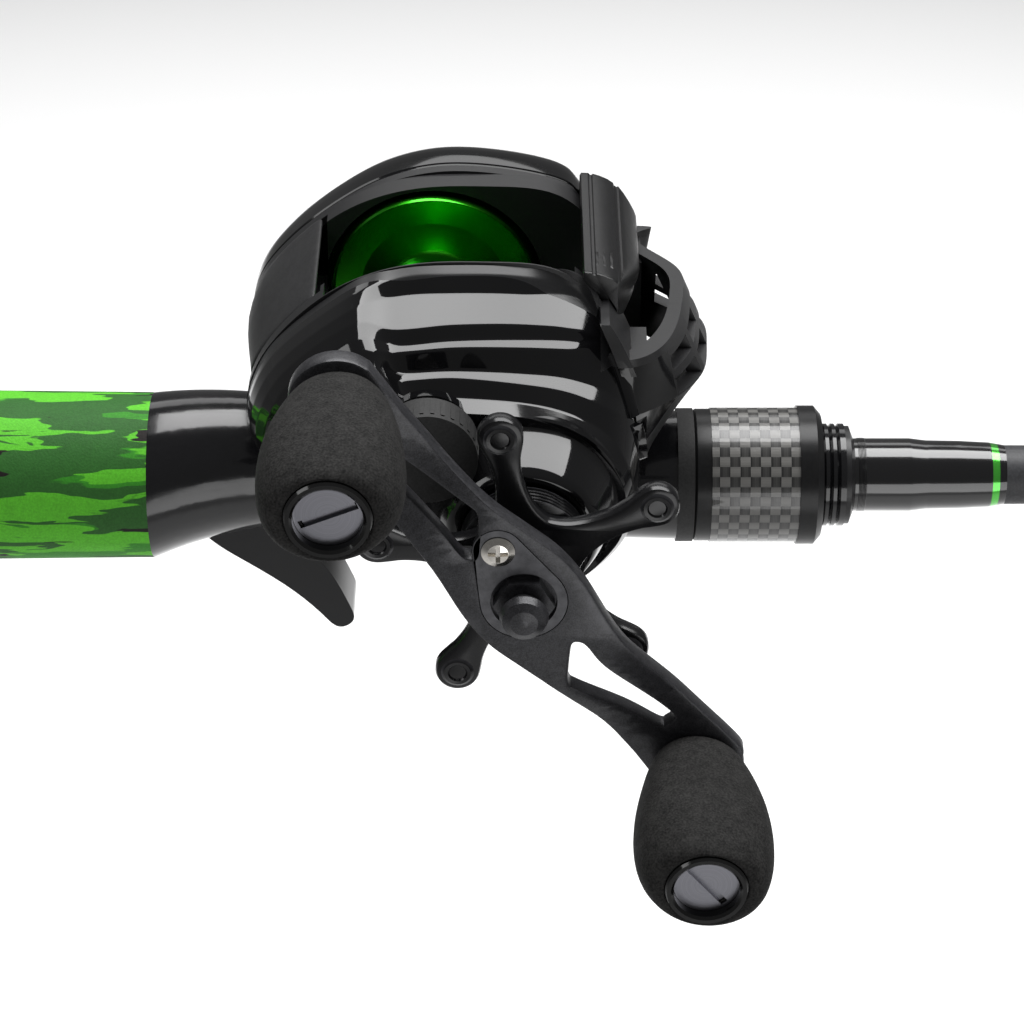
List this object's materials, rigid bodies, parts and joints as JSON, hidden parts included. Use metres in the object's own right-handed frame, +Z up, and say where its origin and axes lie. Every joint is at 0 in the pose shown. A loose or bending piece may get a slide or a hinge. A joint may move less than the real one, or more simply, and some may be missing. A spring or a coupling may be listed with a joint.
{
  "type": "baitcasting rod and reel",
  "caption": "Full-length casting rod with a trigger reel seat, foam grips and line guides, carrying a low-profile bait-casting reel with a two-knob crank, star drag and thumb bar.",
  "frame": {"origin": "on the rod's axis at the reel seat, straight below the spool's axis", "axes": "+X along the rod towards its tip, +Y to the angler's left with the crank on the -Y side, +Z up, with the reel on top of the rod"},
  "size_m": [1.981, 0.122, 0.0868],
  "materials": {
    "graphite_blank": "matte carbon composite",
    "black_rubber": "matte",
    "camo_foam": "matte EVA foam in a green tiger-stripe print",
    "black_aluminium": "black anodised",
    "black_plastic": "gloss",
    "wrap_epoxy": "epoxied thread, high gloss",
    "black_steel": "black coated steel",
    "guide_ceramic": "polished ceramic",
    "seat_plastic": "gloss",
    "frame_black": "gloss black",
    "cover_black": "piano gloss",
    "hood_black": "satin",
    "bright_screw": "bright nickel",
    "bearing_steel": "bright",
    "carbon_weave": "clear-coated twill",
    "handle_black": "satin black anodised",
    "nut_black": "satin",
    "gear_nylon": "moulded",
    "gear_brass": "machined",
    "drag_carbon": "matte",
    "star_black": "satin black anodised",
    "knob_foam": "matte EVA foam",
    "knob_cap": "gloss",
    "spool_green": "bright green anodised",
    "thumb_grey": "satin"
  },
  "bodies": {
    "rod": {"rod_blank": "graphite_blank", "butt_cap": "black_rubber", "butt_grip": "camo_foam", "seat_grip": "camo_foam", "grip_check_rings": "black_aluminium", "fore_collar": "black_plastic", "fore_wrap": "wrap_epoxy", "guide_frames": "black_steel", "guide_rings": "guide_ceramic", "guide_wraps": "wrap_epoxy", "tip_top": "black_steel", "reel_seat": "seat_plastic", "reel_foot": "black_aluminium", "reel_frame": "frame_black", "gear_cover": "cover_black", "cover_screws": "bright_screw", "palm_cover": "cover_black", "front_hood": "hood_black", "shaft_bearings": "bearing_steel", "yoke_posts": "bearing_steel", "yoke_springs": "bearing_steel", "roller_clutch": "bearing_steel", "guide_rod": "bearing_steel"},
    "hood": {"seat_hood": "seat_plastic", "hood_washer": "black_rubber"},
    "nut": {"lock_nut": "black_plastic", "carbon_sleeve": "carbon_weave"},
    "crank": {"drive_shaft": "bearing_steel", "handle_spacer": "black_aluminium", "handle_arm": "handle_black", "handle_nut": "nut_black", "nut_retainer": "handle_black", "retainer_screw": "bright_screw", "knob_spindles": "bearing_steel", "ratchet": "bearing_steel", "levelwind_gear": "gear_nylon", "clutch_sleeve": "bearing_steel", "main_gear": "gear_brass", "drag_washers": "drag_carbon", "spring_washers": "bearing_steel"},
    "star": {"star_drag": "star_black"},
    "knob_one": {"knob_1": "knob_foam", "knob_cap_1": "knob_cap"},
    "knob_two": {"knob_2": "knob_foam", "knob_cap_2": "knob_cap"},
    "spool": {"spool": "spool_green", "spool_shaft": "bearing_steel"},
    "yoke": {"yoke": "gear_nylon"},
    "pinion": {"pinion": "gear_brass"},
    "thumb": {"thumb_bar": "thumb_grey", "clutch_slide": "gear_nylon"},
    "worm": {"worm_shaft": "bearing_steel", "worm_gear": "gear_nylon"},
    "line_guide": {"line_guide": "black_aluminium", "line_guide_ring": "guide_ceramic", "pawl": "bearing_steel"},
    "cast_cap": {"cast_cap": "black_aluminium"},
    "dial": {"brake_dial": "black_plastic"},
    "magnets": {"magnet_carrier": "gear_nylon", "brake_magnets": "bearing_steel"}
  },
  "joints": [
    {"name": "crank_spin", "type": "hinge", "parent": "rod", "child": "crank", "pos_m": [0.0148, 0, 0.0165], "axis": [0, 1, 0], "continuous": true},
    {"name": "star_turn", "type": "hinge", "parent": "crank", "child": "star", "pos_m": [0.0148, 0, 0.0165], "axis": [0, 1, 0], "range_deg": [-180, 180]},
    {"name": "knob_one_spin", "type": "hinge", "parent": "crank", "child": "knob_one", "pos_m": [-0.01255, 0, 0.04956], "axis": [0, 1, 0], "continuous": true},
    {"name": "knob_two_spin", "type": "hinge", "parent": "crank", "child": "knob_two", "pos_m": [0.04215, 0, -0.01656], "axis": [0, 1, 0], "continuous": true},
    {"name": "spool_spin", "type": "hinge", "parent": "rod", "child": "spool", "pos_m": [0, 0, 0.03], "axis": [0, 1, 0], "continuous": true},
    {"name": "thumb_press", "type": "slide", "parent": "rod", "child": "thumb", "axis": [0, 0, -1], "range_m": [0, 0.0036], "stiffness_N_per_m": 400},
    {"name": "yoke_slide", "type": "slide", "parent": "rod", "child": "yoke", "axis": [0, -1, 0], "range_m": [0, 0.0016], "deforming": ["yoke_springs"]},
    {"name": "pinion_spin", "type": "hinge", "parent": "yoke", "child": "pinion", "pos_m": [0, 0, 0.03], "axis": [0, 1, 0], "continuous": true},
    {"name": "worm_spin", "type": "hinge", "parent": "rod", "child": "worm", "pos_m": [0.026, 0, 0.0275], "axis": [0, 1, 0], "continuous": true},
    {"name": "line_guide_slide", "type": "slide", "parent": "rod", "child": "line_guide", "axis": [0, 1, 0], "range_m": [-0.0069, 0.0069]},
    {"name": "cast_cap_turn", "type": "hinge", "parent": "rod", "child": "cast_cap", "pos_m": [0, 0, 0.03], "axis": [0, 1, 0], "range_deg": [-270, 270]},
    {"name": "brake_dial_turn", "type": "hinge", "parent": "rod", "child": "dial", "pos_m": [0, 0, 0.03], "axis": [0, 1, 0], "range_deg": [0, 240]},
    {"name": "magnet_slide", "type": "slide", "parent": "rod", "child": "magnets", "axis": [0, -1, 0], "range_m": [0, 0.0015]},
    {"name": "hood_slide", "type": "slide", "parent": "rod", "child": "hood", "axis": [1, 0, 0], "range_m": [0, 0.005]},
    {"name": "nut_turn", "type": "hinge", "parent": "hood", "child": "nut", "pos_m": [0.05, 0, 0], "axis": [1, 0, 0], "range_deg": [0, 1440]}
  ],
  "couplings": [
    {"joint": "spool_spin", "follows": "crank_spin", "ratio": -6.4},
    {"joint": "pinion_spin", "follows": "crank_spin", "ratio": -6.4},
    {"joint": "worm_spin", "follows": "crank_spin", "ratio": -2.5},
    {"joint": "yoke_slide", "follows": "thumb_press", "ratio": 0.44444},
    {"joint": "magnet_slide", "follows": "brake_dial_turn", "m_per_rad": 0.000358},
    {"joint": "hood_slide", "follows": "nut_turn", "m_per_rad": 0.00019894}
  ]
}
